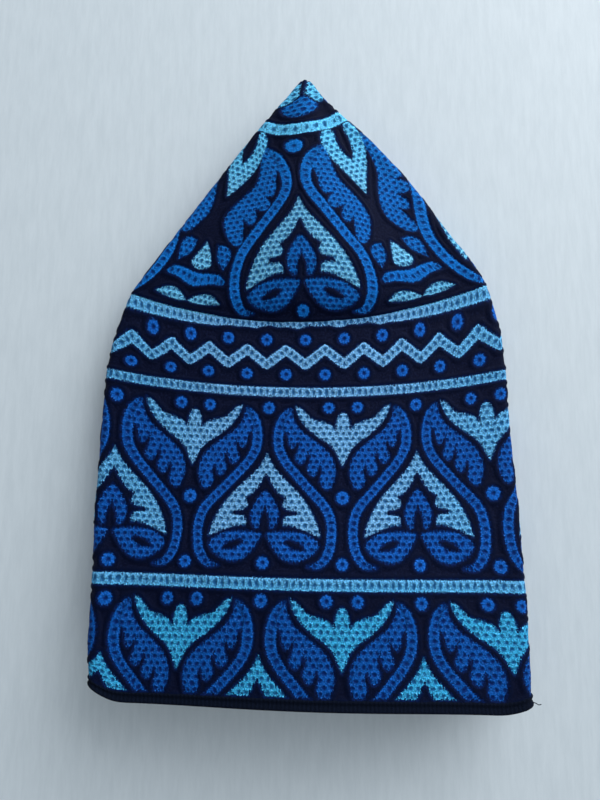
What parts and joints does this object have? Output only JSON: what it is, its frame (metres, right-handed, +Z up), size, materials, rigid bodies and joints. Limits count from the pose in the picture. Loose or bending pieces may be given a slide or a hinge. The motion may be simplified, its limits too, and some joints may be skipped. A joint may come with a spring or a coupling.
{
  "type": "prayer cap",
  "caption": "Embroidered round prayer cap with a flat crown and a straight side band, folded flat in layers, open at its hem.",
  "frame": {"origin": "bottom centre of the folded cap's bounding box, on the surface that the back panel lies on", "axes": "+X to the right of the front panel, +Y from the hem to the crown's point, +Z up from the back panel to the front panel"},
  "size_m": [0.1417, 0.2092, 0.032],
  "materials": {
    "crown_embroidery": "eyelet embroidery in royal blue and turquoise thread on a dark navy stitched ground",
    "band_embroidery": "eyelet embroidery in royal blue and turquoise thread on a dark navy stitched ground",
    "hem_binding": "plain dark navy stitched binding"
  },
  "bodies": {
    "root": {"crown": "crown_embroidery", "side_band": "band_embroidery", "hem_binding": "hem_binding"}
  },
  "joints": []
}
